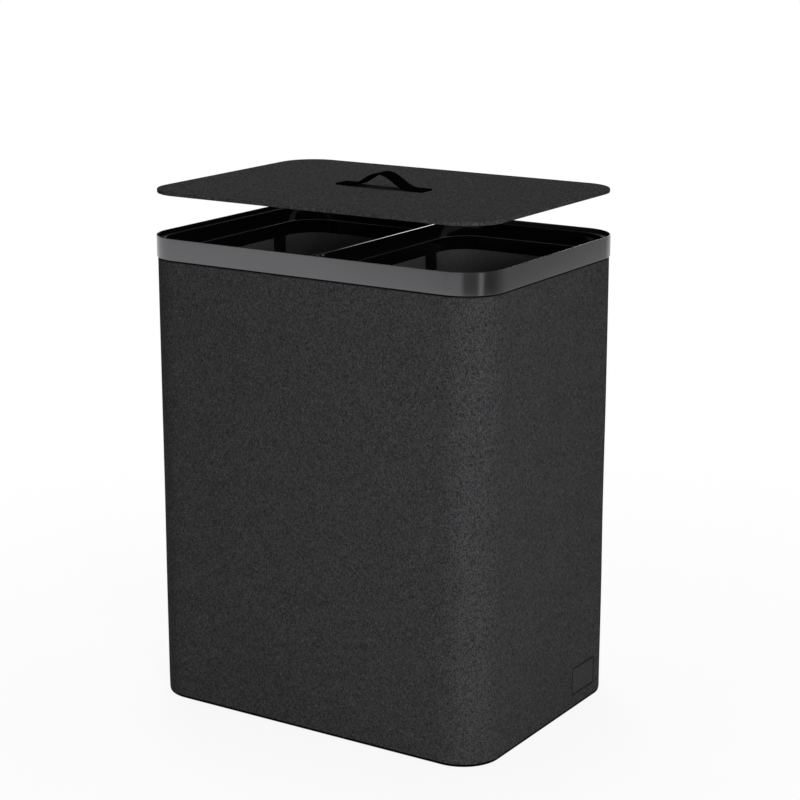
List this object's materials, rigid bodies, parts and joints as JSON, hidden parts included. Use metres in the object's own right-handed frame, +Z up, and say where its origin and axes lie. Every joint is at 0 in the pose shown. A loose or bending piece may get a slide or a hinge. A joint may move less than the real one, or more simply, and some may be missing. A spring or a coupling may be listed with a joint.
{
  "type": "laundry hamper with two bins",
  "caption": "Rectangular fabric-covered laundry hamper with a metal band, lift-out laundry bins on a divided frame, and a flat lift-off lid with a strap handle.",
  "frame": {"origin": "on the floor under the middle of the hamper, at the bottom centre of its bounding box", "axes": "+X to the right along the width, +Y from the front to the back, +Z up; the lid is lifted along +Z"},
  "size_m": [0.4926, 0.3524, 0.6789],
  "materials": {
    "melange_fabric": "charcoal melange linen-look polyester weave",
    "fibreboard": "bare fibreboard",
    "lining_cloth": "black non-woven cloth",
    "foot_rubber": "matte",
    "satin_metal": "satin gunmetal",
    "gloss_black": "moulded, glossy",
    "strap_black": "fine matte grain",
    "spring_steel": "plain",
    "bag_cloth": "matte plain weave",
    "webbing": "woven tape"
  },
  "bodies": {
    "hamper_body": {"fabric_cover": "melange_fabric", "shell_board": "fibreboard", "board_joint_strip": "fibreboard", "floor_board": "fibreboard", "underside_cover": "lining_cloth", "base_batten_rear": "fibreboard", "base_batten_left": "fibreboard", "base_batten_front": "fibreboard", "base_batten_right": "fibreboard", "foot_front_left": "foot_rubber", "foot_front_right": "foot_rubber", "foot_rear_left": "foot_rubber", "foot_rear_right": "foot_rubber", "top_band": "satin_metal", "insert_frame": "gloss_black"},
    "lid": {"lid_fabric_cover": "melange_fabric", "lid_board": "fibreboard", "lid_liner": "lining_cloth", "handle_strap": "strap_black", "strap_washer_left_front": "spring_steel", "strap_washer_left_rear": "spring_steel", "strap_washer_right_front": "spring_steel", "strap_washer_right_rear": "spring_steel"},
    "bin_left": {"bin_left_collar": "gloss_black", "bin_left_bag": "bag_cloth", "bin_left_floor_board": "bag_cloth", "bin_left_handle_outer": "webbing", "bin_left_handle_inner": "webbing"},
    "bin_right": {"bin_right_collar": "gloss_black", "bin_right_bag": "bag_cloth", "bin_right_floor_board": "bag_cloth", "bin_right_handle_outer": "webbing", "bin_right_handle_inner": "webbing"}
  },
  "joints": [
    {"name": "lid_lift", "type": "slide", "parent": "hamper_body", "child": "lid", "axis": [0, 0, 1], "range_m": [-0.0577, 0.15]},
    {"name": "bin_left_lift", "type": "slide", "parent": "hamper_body", "child": "bin_left", "axis": [0, 0, 1], "range_m": [0, 0.015]},
    {"name": "bin_right_lift", "type": "slide", "parent": "hamper_body", "child": "bin_right", "axis": [0, 0, 1], "range_m": [0, 0.015]}
  ]
}
